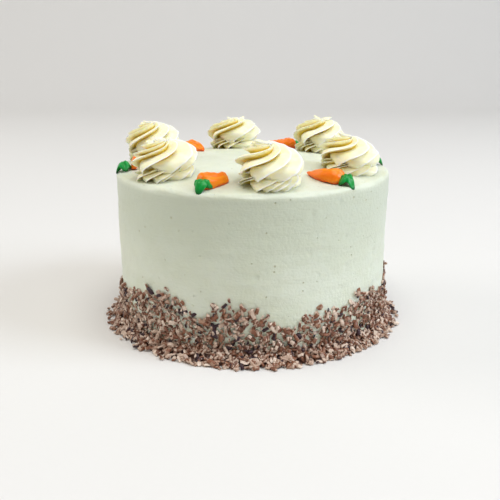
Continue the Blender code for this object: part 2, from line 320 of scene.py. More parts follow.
def piped_colour_icing(name, deep, main, light, streak_size):
    """Coloured piping icing: glossy and smooth, with streaks drawn out along the way it was piped, and a
    painted shade that darkens it low down towards the icing under it.
    """
    material, tree, shader, _ = start_material(name)
    side, along, low = (add(tree, "Attribute", {}, "Fac", attribute_name=mark) for mark in ROOT_MARKS)
    lines = add(tree, "CombineXYZ", {"X": side, "Y": along})
    streak = add(tree, "TexNoise", {"Vector": lines, "Scale": 1 / streak_size, "Detail": 3.0})
    streaked = fade(tree, streak, 0.35, 0.7, paint(main), paint(light))
    # Painted shade: darker low down, towards the icing under the piece
    shaded = fade(tree, low, 0.35, 1.0, streaked, paint(deep))
    drawn = add(tree, "Bump", {"Height": streak, "Distance": 0.25 * MM, "Strength": 0.35})
    feed(tree, shader, {"Base Color": shaded, "Normal": drawn, "Roughness": 0.34, "IOR": 1.38,
                        "Subsurface Weight": 0.15, "Subsurface Scale": 2 * MM, "Coat Weight": 0.08,
                        "Coat Roughness": 0.15})
    return material


def chopped_nut(name, flesh, skin, sheen):
    """Chopped pecan: chalky pale flesh where it broke, and a thin dark skin with a dull gloss."""
    material, tree, shader, where = start_material(name)
    tone, bare = (add(tree, "Attribute", {}, "Fac", attribute_name=mark) for mark in ("tone", "bare"))
    outer, inner = (add(tree, "Mix", {0: tone, MIX_A: paint(first), MIX_B: paint(second)}, **COLOURS)
                    for first, second in (skin, flesh))
    grain = add(tree, "TexNoise", {"Vector": where, "Scale": 1 / (0.9 * MM), "Detail": 3.0})
    mottled = fade(tree, grain, 0.3, 0.75, fade(tree, bare, 0.4, 0.6, outer, inner), paint(sheen), 0.45)
    rough = add(tree, "Bump", {"Height": grain, "Distance": 0.2 * MM, "Strength": 0.5})
    feed(tree, shader, {"Base Color": mottled, "Normal": rough, "Roughness": 0.36, "IOR": 1.46})
    return material


def backdrop_paper(colour):
    """Matt seamless paper, with fibres that are barely lighter."""
    material, tree, shader, where = start_material("backdrop_paper")
    fibre = add(tree, "TexNoise", {"Vector": where, "Scale": 1 / (4 * MM)})
    tone = fade(tree, fibre, 0.2, 0.8, paint(colour), paint((1.0, 1.0, 1.0)), 0.02)
    feed(tree, shader, {"Base Color": tone, "Roughness": 0.85})
    return material


# --- Iced cake ---

SKIN_COLUMNS = 600
TOP_ROWS, EDGE_ROWS, SIDE_ROWS = 46, 10, 84
INNERMOST = 0.02  # the top's first row, as a share of its radius
LONG_WAVE, SPREAD_WAVE, EDGE_WAVE = 60 * MM, 9 * MM, 22 * MM
DRAG_LINE = (55 * MM, 55 * MM, 6.5 * MM)
STILL_FOOT = 4 * MM  # the unevenness fades out over this height above the table
DENTS = 64
# Ranges of the dents' direction, height, reach and depth
DENT_RANGES = (0, FULL_TURN), (45 * MM, 118 * MM), (1.0 * MM, 2.6 * MM), (0.25 * MM, 0.85 * MM)


def top_height(x, y, settings):
    """Height of the cake's top: a paraboloid about the axis, highest in the middle."""
    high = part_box("cake_body")[1]
    return high.z - settings.crown * (x * x + y * y) / (high.x - settings.edge_round)**2


def skin_grid(settings):
    """The icing's surface, from the foot to the middle of the top. Its outline is a line that leans
    out from the foot, a quarter of a circle at the edge and a shallow arch over the top; it is
    turned about the axis and then pushed in and out by ripples, drag lines and dents."""
    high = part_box("cake_body")[1]
    round_edge, edge = settings.edge_round, high.z - settings.crown
    flat = high.x - round_edge
    top_share = np.linspace(INNERMOST, 1.0, TOP_ROWS)
    bend = np.linspace(0, math.pi / 2, EDGE_ROWS + 1)[1:]
    down = np.linspace(0, 1, SIDE_ROWS + 1)[1:]
    radius = np.concatenate([flat * top_share, flat + round_edge * np.sin(bend),
                             high.x + (settings.foot_radius - high.x) * down])
    height = np.concatenate([high.z - settings.crown * top_share**2, edge - round_edge * (1 - np.cos(bend)),
                             (edge - round_edge) * (1 - down)])
    tilt = np.concatenate([np.zeros(TOP_ROWS), bend, np.full(SIDE_ROWS, math.pi / 2)])
    angle = np.arange(SKIN_COLUMNS) * FULL_TURN / SKIN_COLUMNS
    radius, height, tilt = (line[::-1, None] for line in (radius, height, tilt))
    grid = polar(radius, angle, height)
    push = settings.unevenness * ripple(grid, LONG_WAVE, 31)
    push += settings.drag_depth * ripple(grid, DRAG_LINE, 32, 20)
    push += settings.drag_depth / 2 * ripple(grid, SPREAD_WAVE, 33, 20)
    push += 1.5 * settings.unevenness * np.sin(tilt * 2) ** 2 * ripple(grid, EDGE_WAVE, 34)
    chance = np.random.default_rng(35)
    for turn, level, reach, depth in zip(*(chance.uniform(*ends, DENTS) for ends in DENT_RANGES)):
        spot = polar(high.x, turn, level)
        push -= depth * np.exp(-((grid - spot) ** 2).sum(-1) / reach**2)
    push *= np.clip(height / STILL_FOOT, 0, 1)
    return grid + polar(np.sin(tilt), angle, np.cos(tilt)) * push[..., None]


class CAKE_OT_ice_cake(bpy.types.Operator):
    """Makes the smooth coat of icing over the whole cake"""
    bl_idname = "cake.ice_cake"
    bl_label = "Ice the cake"

    def execute(self, context):
        settings = context.scene.carrot_cake.icing
        shell = Shell()
        shell.add(skin_grid(settings))
        shell.finish("icing_coat", cream_cheese_icing(settings), "cake_body")
        return {"FINISHED"}


# --- Piped swirls ---

# Across a rib, from its lip to the next one: share of the way across, share of the full overhang,
# depth below the lips and share of the painted yellow groove shade, each against the share of the rib's
# columns.
# Pairs such as these are knots of a smooth line
RIB_ACROSS = ((0, 0), (0.12, 0.005), (0.20, 0.02), (0.28, 0.07), (0.40, 0.21), (0.60, 0.50), (0.80, 0.80),
              (0.92, 0.955), (0.97, 0.99), (1, 1))
RIB_OVERHANG = ((0, 1), (0.05, 0.97), (0.12, 0.70), (0.20, 0.28), (0.28, 0.06), (0.40, 0), (0.60, 0.02),
                (0.80, 0.28), (0.92, 0.70), (0.97, 0.91), (1, 1))
RIB_DEPTH = ((0, 0), (0.04, 0.07), (0.12, 0.42), (0.20, 0.84), (0.28, 1), (0.40, 0.90), (0.60, 0.63),
             (0.80, 0.32), (0.92, 0.10), (0.97, 0.02), (1, 0))
RIB_HOLLOW = (0, 0), (0.08, 0.15), (0.16, 0.75), (0.24, 1), (0.32, 0.85), (0.42, 0.35), (0.60, 0.08), (1, 0)
# Up a swirl, against its slope in degrees from under the waist to the tip: how far round the ribs
# have climbed, and how deep they are as a share of the radius
RIB_CLIMB = ((-55, 0), (-30, 8), (-11, 22), (5, 38), (22, 60), (38, 84), (54, 112), (67, 142), (80, 182),
             (90, 225))
RIB_DEPTHS = (-55, 0.30), (-12, 0.36), (20, 0.34), (48, 0.29), (70, 0.19), (90, 0.03)
SKIRT_DEPTHS = (-55, 0.26), (0, 0.34), (90, 0.05)
LOWEST_SLOPE, HIGHEST_SLOPE = -52, 89
RIB_COLUMNS = 28
SWIRL_ROWS, SKIRT_ROWS = 132, 44
DOME_UNEVEN, SKIRT_UNEVEN = 0.18, 0.42  # how much ribs differ in width and depth, as shares
UPRIGHT_CUT = 0.9  # upright share of a groove's depth, against its level share
LIP_SHARPNESS = 7
RAGGED_SIZE, SOFT_SIZE = 6.5 * MM, 14 * MM
# The lowest turn of a swirl against the dome above it: width, height and foot, more ribs and turn
SKIRT_WIDTH, SKIRT_HEIGHT, SKIRT_FOOT, SKIRT_RIBS, SKIRT_TURN = 0.92, 0.48, -3 * MM, 6, 31
FIN_ROWS, FIN_COLUMNS = 34, 28
FIN_START = 0.02  # first row of a fin; rows are spaced as the cosine along half a turn
FIN_THICKNESS = 1.5 * MM
FIN_SWING = 25  # most that a fin's end swings to a side, in degrees


def ribbed_dome(shell, place, radius, base, height, ribs, turn, full, seed, depths, climb, rows, uneven,
                settings):
    """A dome whose ribs climb anticlockwise. Its outline is a power of the slope's cosine against the
    sine, with the smallest power, so the fullest outline, in one direction. Each rib repeats one
    outline across, a lip that hangs over a groove and then a band up to the next lip, pushed in
    along the slope's own direction."""
    chance = np.random.default_rng(seed)
    degrees = np.linspace(LOWEST_SLOPE, HIGHEST_SLOPE, rows)
    slope = np.radians(degrees)[:, None]
    level, upright = np.cos(slope), np.sin(slope)
    share = np.tile(np.arange(RIB_COLUMNS) / RIB_COLUMNS, ribs)
    rib = np.repeat(np.arange(ribs), RIB_COLUMNS)
    pitch = FULL_TURN / ribs
    shift = chance.uniform(-uneven, uneven, ribs) * pitch
    crest = np.arange(ribs + 1) * pitch + np.append(shift, shift[0])
    deepness = chance.uniform(1 - uneven, 1 + uneven, ribs)
    deepness = deepness[rib] * (1 - share) + deepness[(rib + 1) % ribs] * share
    angle = crest[rib] + through(RIB_ACROSS, share) * np.diff(crest)[rib]
    angle = angle + through(RIB_OVERHANG, share) * settings.overhang * pitch
    angle = angle + np.radians(through(climb, degrees) + turn)[:, None]
    power = settings.draw_in - settings.fullness * np.cos(angle - math.radians(full))
    sink = math.sin(math.radians(-LOWEST_SLOPE))
    cut = through(depths, degrees)[:, None] * radius * through(RIB_DEPTH, share) * deepness
    out = radius * level ** np.where(slope > 0, power, 1.0) - cut * level
    up = base + (height - base) * (upright + sink) / (1 + sink) - cut * upright * UPRIGHT_CUT
    grid = polar(out, angle, up)
    # Share of lip at each column: it sets the painted near-white highlight on the lips and also where they
    # are ragged
    lip = (1 - np.clip(through(RIB_DEPTH, share), 0, 1)) ** LIP_SHARPNESS
    push = settings.raggedness * ripple(grid, RAGGED_SIZE, seed + 100, 24) * lip
    push += 1.6 * settings.raggedness * ripple(grid, SOFT_SIZE, seed + 200, 20)
    push *= level ** 0.3
    grid += polar(push * level, angle, push * upright)
    grid[..., :2] += place
    # The hollow mark sets the painted yellow groove shade, and the lip mark sets the painted lip highlight
    shell.add(grid, hollow=through(RIB_HOLLOW, share) * np.clip(deepness, 0, 1), lip=lip)


def torn_fin(shell, start, direction, length, width, rise, tilt, seed):
    """A torn fin of icing: a thin leaf whose middle line runs level and curls up as a parabola. It is
    tilted about that line, blunt at both ends, and thinner towards its far end. Sine waves tear its
    edges and bend it sideways."""
    chance = np.random.default_rng(seed)
    along = (1 - np.cos(np.linspace(FIN_START, 1, FIN_ROWS) * math.pi))[:, None] / 2
    round_it = np.arange(FIN_COLUMNS) * FULL_TURN / FIN_COLUMNS
    torn = 1 + 0.07 * np.sin(along * 15 + chance.uniform(0, 6))
    torn += 0.04 * np.sin(along * 34 + chance.uniform(0, 6))
    blunt = np.clip(1 - np.abs(2 * along - 1) ** 5, 0.02, 1) ** 0.5
    side = width / 2 * blunt * torn * (1 - 0.35 * along) * np.cos(round_it)
    up = FIN_THICKNESS * (1 - 0.40 * along) * blunt * np.sin(round_it) + side**2 / (2 * width)
    ahead = length * (along - 0.15 + 0.06 * np.sin(side / width * 9 + chance.uniform(0, 6)) * along)
    heading = math.radians(direction) + math.radians(chance.uniform(-FIN_SWING, FIN_SWING)) * along**2
    lean = math.radians(tilt)
    across = side * math.cos(lean) - up * math.sin(lean)
    x = start[0] + ahead * np.cos(heading) - across * np.sin(heading)
    y = start[1] + ahead * np.sin(heading) + across * np.cos(heading)
    z = start[2] + rise * along**2 + up * math.cos(lean) + side * math.sin(lean)
    grid = np.stack([x, y, z], axis=-1)
    grid[..., 2] += 0.15 * MM * ripple(grid, 5 * MM, seed + 9)
    # The fins get no painted groove shade, and a painted lip highlight that is strongest along their edges
    shell.add(grid, hollow=0.0, lip=np.maximum(np.abs(np.cos(round_it)) ** 6, 0.35))


class CAKE_OT_pipe_swirls(bpy.types.Operator):
    """Makes the six swirls of buttercream near the rim"""
    bl_idname = "cake.pipe_swirls"
    bl_label = "Pipe the swirls"

    def execute(self, context):
        cake = context.scene.carrot_cake
        material = piped_buttercream(cake.swirls)
        for node, swirl in SWIRLS.items():
            self.pipe(node, *swirl, material, cake.swirls, cake.icing)
        return {"FINISHED"}

    def pipe(self, node, turn, full, seed, fins, material, settings, cake):
        """One swirl: the lowest turn, the dome over it and its fins, all raised onto the icing."""
        low, high = (np.array(corner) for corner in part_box(node))
        middle = (low[:2] + high[:2]) / 2
        radius = (high[:2] - low[:2]).mean() / 2
        height = high[2] - top_height(*middle, cake)
        shell = Shell("hollow", "lip")
        skirt_climb = [(at, value * settings.skirt_climb) for at, value in RIB_CLIMB]
        ribbed_dome(shell, middle, radius * SKIRT_WIDTH, SKIRT_FOOT, height * SKIRT_HEIGHT,
                    settings.ribs + SKIRT_RIBS, turn + SKIRT_TURN, full, seed + 50,
                    SKIRT_DEPTHS, skirt_climb, SKIRT_ROWS, SKIRT_UNEVEN, settings)
        ribbed_dome(shell, middle, radius, settings.lift, height, settings.ribs, turn, full, seed,
                    RIB_DEPTHS, RIB_CLIMB, SWIRL_ROWS, DOME_UNEVEN, settings)
        for number, (direction, level, length, width, rise, tilt) in enumerate(fins):
            torn_fin(shell, (*middle, height * level), direction, length * MM, width * MM, rise * MM, tilt,
                     seed + 300 + number)
        for block in shell.points:
            block[:, 2] += top_height(block[:, 0], block[:, 1], cake)
        shell.finish("piped_" + node, material, node)


# --- Piped carrots ---

ROOT_ROWS, ROOT_COLUMNS = 72, 56
ROOT_SHOULDER, ROOT_TIP = 0.18, 0.12  # rounded shares of a root at its thick end and its tip
ROOT_STAND = math.sin(math.radians(38))  # a section's middle above the icing, as a share of its radius
RINGS = 42  # how far ring waves run along a root, in radians
LOBES = 3
LOBE_ROWS, LOBE_COLUMNS = 34, 36
LOBE_SWING = 18  # most that a lobe's end swings to a side, in degrees
DEEPEST = -0.4 * MM  # how far icing sinks into the icing under it
# Painted shade on the greens starts below this height
LOW_DOWN = 5.5 * MM  # below this height above the icing the greens' colour deepens


def root_line(number):
    """The ends of a root: those of its CAD solid along its longest direction, the thick end, where
    the greens are, first."""
    points = node_points(f"carrot_{number}")[:, :2]
    greens = node_points(f"leaf_{number}")[:, :2].mean(axis=0)
    middle = points.mean(axis=0)
    axis = np.linalg.svd(points - middle, full_matrices=False)[2][0]
    reach = (points - middle) @ axis
    ends = [middle + axis * reach.min(), middle + axis * reach.max()]
    return sorted(ends, key=lambda end: np.hypot(*(end - greens)))


def root_taper(share, tip_width):
    """Width along the root: round at the thick end, then narrower to a small rounded tip."""
    shoulder = np.sqrt(np.clip(1 - (1 - np.minimum(share / ROOT_SHOULDER, 1)) ** 2, 0, 1))
    tip = np.sqrt(np.clip(1 - np.maximum((share - 1 + ROOT_TIP) / ROOT_TIP, 0) ** 2, 0, 1))
    return shoulder * tip * (1 - (1 - tip_width) * share**1.6)


def drape(x, y, cake):
    """Height of the icing's surface, with the start of its rounded edge."""
    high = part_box("cake_body")[1]
    past = np.clip(np.hypot(x, y) - (high.x - cake.edge_round), 0.0, cake.edge_round * 0.8)
    return top_height(x, y, cake) - (cake.edge_round - np.sqrt(cake.edge_round**2 - past**2))


def pipe_root(shell, number, settings, cake):
    """A root: round sections that sit flat on the icing, carried along a parabola, with rings and
    soft lengthwise folds."""
    bend, lift, ridge = np.array(CARROTS[number][:3]) * MM
    tip_width, _, seed = CARROTS[number][3:]
    start, end = root_line(number)
    length = np.hypot(*(end - start))
    along = (end - start) / length
    across = np.array([-along[1], along[0]])
    share = (np.sin(np.linspace(0.03, 1, ROOT_ROWS) * math.pi / 2) + np.linspace(0, 1, ROOT_ROWS)) / 2
    share = np.clip(share, 0.004, 0.998)[:, None]
    turn = np.arange(ROOT_COLUMNS) * FULL_TURN / ROOT_COLUMNS
    taper = root_taper(share, tip_width)
    fold = 1 + 0.05 * np.cos(3 * turn + seed) + 0.03 * np.cos(7 * turn + 2 * seed + 4 * share)
    ring = ridge * np.sin(share * RINGS + 0.6 * np.cos(turn)) * np.clip(np.sin(turn), 0, 1)
    side = (settings.half_width * taper * fold + ring) * np.cos(turn)
    up = (settings.height * taper * fold + ring) * (np.sin(turn) + ROOT_STAND) / (1 + ROOT_STAND)
    up = np.maximum(up, DEEPEST) + lift * np.clip(share - 0.5, 0, 1) ** 2 * 4
    centre = start + along * length * share + across * (bend * 4 * share * (1 - share))
    x, y = centre[:, :1] + across[0] * side, centre[:, 1:] + across[1] * side
    grid = np.stack([x, y, up + drape(x, y, cake)], axis=-1)
    grid[..., 2] += settings.height * 0.04 * ripple(np.stack([x, y, up], axis=-1), 7 * MM, seed)
    shell.add(grid, side=np.sin(turn) / 2 + np.cos(turn), along=share * 0.35,
              low=np.clip(1 - up / (settings.height * 0.55), 0, 1))


def pipe_lobe(shell, centre, direction, size, seed, settings, cake):
    """A lobe of the greens: a fat drop of icing pulled outwards and down to the surface, widest past
    its middle, with a crease along its back."""
    length, width = settings.lobe_length * size, settings.lobe_width * size
    share = np.linspace(0.0, 1.0, LOBE_ROWS)[:, None]
    turn = np.arange(LOBE_COLUMNS) * FULL_TURN / LOBE_COLUMNS
    swell = np.sin(math.pi * np.clip(0.10 + 0.88 * share**0.85, 0, 1)) ** 0.6
    crease = 1 - 0.30 * np.exp(-((turn - math.pi / 2) / 0.28) ** 2) * np.sin(math.pi * share)
    chance = np.random.default_rng(seed)
    bumps = 1 + 0.08 * np.cos(3 * turn + chance.uniform(0, 6) + 5 * share)
    side = width / 2 * swell * np.cos(turn) * bumps
    fall = settings.lobe_crown * (1 - share**1.8)
    up = np.maximum(fall + width * 0.36 * swell * (0.35 + np.sin(turn) * crease * bumps), DEEPEST)
    heading = math.radians(direction) + math.radians(chance.uniform(-LOBE_SWING, LOBE_SWING)) * share
    x = centre[0] + length * share * np.cos(heading) - side * np.sin(heading)
    y = centre[1] + length * share * np.sin(heading) + side * np.cos(heading)
    grid = np.stack([x, y, up], axis=-1)
    grid[..., 2] += 0.4 * MM * ripple(grid, 4 * MM, seed) + drape(x, y, cake)
    shell.add(grid, side=np.sin(turn) / 2 + np.cos(turn), along=share * 0.3,
              low=np.clip(1 - up / LOW_DOWN, 0, 1))


class CAKE_OT_pipe_carrots(bpy.types.Operator):
    """Makes the orange roots of the six small carrots"""
    bl_idname = "cake.pipe_carrots"
    bl_label = "Pipe the carrots"

    def execute(self, context):
        cake, colours = context.scene.carrot_cake, context.scene.carrot_cake.carrots
        material = piped_colour_icing("orange_icing", colours.orange_low_shade, colours.orange,
                                      colours.orange_light, 0.5)
        for number in CARROTS:
            shell = Shell(*ROOT_MARKS)
            pipe_root(shell, number, cake.carrots, cake.icing)
            shell.finish(f"piped_carrot_{number}", material, f"carrot_{number}")
        return {"FINISHED"}


class CAKE_OT_pipe_greens(bpy.types.Operator):
    """Makes the three-lobed greens of the six small carrots"""
    bl_idname = "cake.pipe_greens"
    bl_label = "Pipe the greens"

    def execute(self, context):
        cake, colours = context.scene.carrot_cake, context.scene.carrot_cake.carrots
        material = piped_colour_icing("green_icing", colours.green_low_shade, colours.green,
                                      colours.green_light, 0.6)
        for number, (*_, direction, seed) in CARROTS.items():
            low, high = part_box(f"leaf_{number}")
            shell = Shell(*ROOT_MARKS)
            chance = np.random.default_rng(seed)
            for lobe in range(LOBES):
                pipe_lobe(shell, (low + high) / 2, direction + 360 / LOBES * lobe, chance.uniform(0.9, 1.12),
                          seed * 10 + lobe, cake.carrots, cake.icing)
            shell.finish(f"piped_greens_{number}", material, f"leaf_{number}")
        return {"FINISHED"}


# --- Nuts ---

CHIP_STATIONS = (-0.36, 0.02, 0.38)  # of a chip's three cross-sections, as shares of its length
CHIP_SIDES = 5
CHIP_CLEARANCE = 0.1 * MM  # between the table and a chip's lowest corner
CHIP_STANDING = 0.35  # how far chips stand out of the plane that they lie in
CORE_COLUMNS, CORE_ROWS = 720, 16
# The core's outline: spread as a share of the heap's and height, against the share of its rows
CORE_SPREAD = (0.2, 0.72), (0.4, 0.50), (0.7, 0.16)
CORE_HEIGHT = (0, 0.0), (0.2, 0.0), (0.4, 2.2 * MM), (0.7, 6.0 * MM), (1, 10.5 * MM)
CORE_BITE = -0.8 * MM  # how far the core's two edges reach into the icing
OUTLINE_COLUMNS = 120  # columns in which the CAD band's height is read
NET_HEIGHT = 52 * MM  # of the net that chips are scattered on
LAYERS, LAYER_STEP = 2, 1.6 * MM  # layers of chips on the side, and from one to the next
# Share of the net's cells that hold a chip, against their height as a share of the nuts' outline
FILLED = (0, 0.60, 0.90, 1.0, 1.06, 1.30), (1.0, 1.0, 0.97, 0.72, 0.03, 0.0)
HEAP_HEIGHT, HEAP_LOWEST = 8.5 * MM, 1.1 * MM
LOW_CHIPS = 6 * MM  # below this height more chips are broken open
DARK_FROM = 0.91  # chips that draw more than this are dark


def nut_outline(angle):
    """Height of the nuts at each angle: the highest corner of the CAD band in each of its columns,
    with straight lines between."""
    points = node_points("nut_band")
    step = 360 / OUTLINE_COLUMNS
    columns = np.round(np.degrees(np.arctan2(points[:, 1], points[:, 0])) / step).astype(int)
    peak = np.zeros(OUTLINE_COLUMNS)
    np.maximum.at(peak, columns % OUTLINE_COLUMNS, points[:, 2])
    return np.interp(np.degrees(angle), np.arange(OUTLINE_COLUMNS) * step, peak, period=360)


def chip_faces(count):
    """Faces of many chips: each has rings of corners with a pole at either end."""
    stations, corners = len(CHIP_STATIONS), len(CHIP_STATIONS) * CHIP_SIDES + 2
    quads, *ends = grid_faces(stations, CHIP_SIDES, True)
    first = (np.arange(count) * corners)[:, None, None]
    triangles = np.concatenate(ends) + first
    return (quads + first).reshape(-1, 4).tolist() + triangles.reshape(-1, 3).tolist()


def make_chips(name, centre, facing, lengths, seed, skinned):
    """Joined chips of nut. Each is a rough prism of five sides with pointed ends, whose long axis lies
    near the plane it faces out of, in a random direction, and whose corners are all shifted."""
    chance = np.random.default_rng(seed)
    count = len(centre)
    facing = facing + chance.normal(0, CHIP_STANDING, (count, 3))
    facing /= np.linalg.norm(facing, axis=1, keepdims=True)
    long_axis = np.cross(facing, chance.normal(size=(count, 3)))
    long_axis /= np.linalg.norm(long_axis, axis=1, keepdims=True)
    axes = np.stack([long_axis, np.cross(facing, long_axis), facing], axis=1)
    length = chance.uniform(*lengths, (count, 1, 1)) * chance.choice([1, 1, 1, 1.35], (count, 1, 1))
    width = length * chance.uniform(0.42, 0.74, (count, 1, 1))
    thick = width * chance.uniform(0.50, 0.85, (count, 1, 1))
    turn = np.arange(CHIP_SIDES) * FULL_TURN / CHIP_SIDES
    turn = turn + chance.uniform(-0.35, 0.35, (count, 1, CHIP_SIDES))
    size = chance.uniform(0.62, 1.1, (count, len(CHIP_STATIONS), CHIP_SIDES))
    ahead = np.array(CHIP_STATIONS)[:, None] + chance.uniform(-0.09, 0.09, size.shape)
    bend = chance.uniform(-0.35, 0.35, (count, 1, 1)) * (1 - 4 * ahead**2)
    local = np.stack([ahead * length, (size * np.cos(turn) + bend) / 2 * width,
                      size * np.sin(turn) / 2 * thick], axis=-1)
    ends = np.zeros((count, 2, 3))
    ends[..., 0] = length[..., 0] * (-0.5, 0.5)
    ends[..., 1:] += chance.uniform(-0.15, 0.15, (count, 2, 2)) * width
    corners = np.concatenate([local.reshape(count, -1, 3), ends], axis=1)
    points = corners @ axes + centre[:, None, :]
    points[..., 2] += np.maximum(CHIP_CLEARANCE - points[..., 2].min(axis=1), 0)[:, None]
    mesh = bpy.data.meshes.new(name)
    mesh.from_pydata(points.reshape(-1, 3), [], chip_faces(count))
    bare_sides = chance.random(count * (len(CHIP_STATIONS) - 1) * CHIP_SIDES) > skinned
    bare_ends = np.full(count * 2 * CHIP_SIDES, skinned < 1)
    store_mark(mesh, "bare", "FACE", np.concatenate([bare_sides, bare_ends]))
    store_mark(mesh, "tone", "POINT", np.repeat(chance.random(count), points.shape[1]))
    return mesh


def side_spots(chance, settings, layer):
    """Places on the side, one in each cell of a jittered net: fewer towards the upper outline and in
    thin patches, with some single chips above it. An upper layer thins out all the way up."""
    columns = int(FULL_TURN * settings.side_radius / settings.spacing)
    rows = int(NET_HEIGHT / settings.spacing)
    angle = (np.arange(columns)[:, None] + chance.uniform(0, 1, (columns, rows))) * FULL_TURN / columns
    height = (np.arange(rows) + chance.uniform(0, 1, (columns, rows))) * settings.spacing
    angle, height = angle.ravel(), height.ravel()
    share = height / nut_outline(angle)
    patch = ripple(polar(settings.side_radius, angle, height), 16 * MM, 41)
    wanted = np.interp(share, *FILLED) + 0.40 * np.minimum(patch + 0.6, 0.0) * (share < 1)
    keep = chance.random(len(angle)) < wanted
    if layer:
        keep &= chance.random(len(angle)) < 0.5 * (1 - share)
    return angle[keep], height[keep]


class CAKE_OT_press_nuts(bpy.types.Operator):
    """Makes the chopped nuts round the foot of the cake, over a thin core of crumbs"""
    bl_idname = "cake.press_nuts"
    bl_label = "Press on the nuts"

    def execute(self, context):
        settings = context.scene.carrot_cake.nuts
        flesh, deep, skin, darkest = settings.flesh, settings.flesh_deep, settings.skin, settings.dark
        self.core(settings, chopped_nut("nut_crumbs", (deep, skin), (skin, darkest), deep))
        chance = np.random.default_rng(settings.seed)
        centre, facing = self.spots(settings, chance)
        pick = chance.random(len(centre))
        brown = chopped_nut("pecan_skin", (flesh, deep), (skin, settings.skin_red), deep)
        pale = chopped_nut("pecan_flesh", (flesh, deep), (deep, skin), flesh)
        dark = chopped_nut("dark_pecan_skin", (darkest, darkest), (darkest, darkest), skin)
        pale_share = np.where(centre[:, 2] < LOW_CHIPS, 0.36, 0.16)
        kinds = (("nuts_pale", pick < pale_share, pale, 0.12), ("nuts_dark", pick > DARK_FROM, dark, 1.0),
                 ("nuts_skinned", (pick >= pale_share) & (pick <= DARK_FROM), brown, 0.75))
        for number, (name, chosen, material, skinned) in enumerate(kinds):
            mesh = make_chips(name, centre[chosen], facing[chosen], (settings.shortest, settings.longest),
                              settings.seed + number, skinned)
            place_piece(name, mesh, material, "nut_band", smooth=material is not pale)
        return {"FINISHED"}

    def core(self, settings, material):
        """A ring of crumbs under the chips: it leans out as a heap does at the foot and thins to
        nothing against the side."""
        angle = np.arange(CORE_COLUMNS) * FULL_TURN / CORE_COLUMNS
        rows = np.linspace(0, 1, CORE_ROWS)
        spread = [(at, settings.heap * share) for at, share in CORE_SPREAD]
        out = through([(0, CORE_BITE), *spread, (1, CORE_BITE)], rows)[:, None]
        grid = polar(settings.side_radius + out, angle, through(CORE_HEIGHT, rows)[:, None])
        grid[2:-1, :, 2] += 0.6 * MM * ripple(grid[2:-1], 3 * MM, 43, 20)
        grid[..., 2] = np.maximum(grid[..., 2], 0.0)
        shell = Shell("tone", "bare")
        shell.add(grid, poles=False, tone=0.4, bare=0.0)
        shell.finish("nut_core", material, "nut_band")

    def spots(self, settings, chance):
        """Where the chips go and which way they face: on the side, on the heap at the foot, whose
        edge is uneven, and loose on the table round it."""
        centres, facings = [], []
        for layer in range(LAYERS):
            angle, height = side_spots(chance, settings, layer)
            out = chance.uniform(-0.4 * MM, 0.6 * MM, len(angle)) + 0.8 * MM + layer * LAYER_STEP
            centres.append(polar(settings.side_radius + out, angle, np.maximum(height, 1.2 * MM)))
            facings.append(polar(1.0, angle, 0.1))
        angle = chance.uniform(0, FULL_TURN, settings.heap_count)
        share = chance.random(settings.heap_count) ** 1.25
        uneven = ripple(polar(1.0, angle, 0.0), 0.4, 44) + np.cos(2 * angle + math.pi)
        out = settings.heap * (1 + 0.10 * uneven) * share
        level = HEAP_HEIGHT * (1 - share) ** 1.3 * chance.uniform(0.75, 1.1, settings.heap_count)
        centres.append(polar(settings.side_radius + out, angle, level + HEAP_LOWEST))
        facings.append(polar(0.6, angle, 0.8))
        angle = chance.uniform(0, FULL_TURN, settings.loose_count)
        out = settings.heap + chance.exponential(1.2 * MM, settings.loose_count).clip(0, 3.2 * MM)
        centres.append(polar(settings.side_radius + out, angle, 0.9 * MM))
        facings.append(polar(0.0, angle, 1.0))
        return np.concatenate(centres), np.concatenate(facings)


# --- Stage ---

FLOOR_HALF = 4.0  # half the floor's width, and its reach to the front
BEND_FROM, BEND_RADIUS = 1.6, 0.8  # where the floor bends up behind the cake, and how widely
WALL_TOP = 5.0
SENSOR_WIDTH = 36.0  # of the camera, in millimetres
# Soft boxes: place and width, each with its power and colour among the settings
KEY_BOX, FILL_BOX, TOP_BOX = ((2.15, -0.5, 1.6), 1.2), ((-2.3, 0.5, 1.3), 1.5), ((0.2, -0.5, 2.4), 1.7)


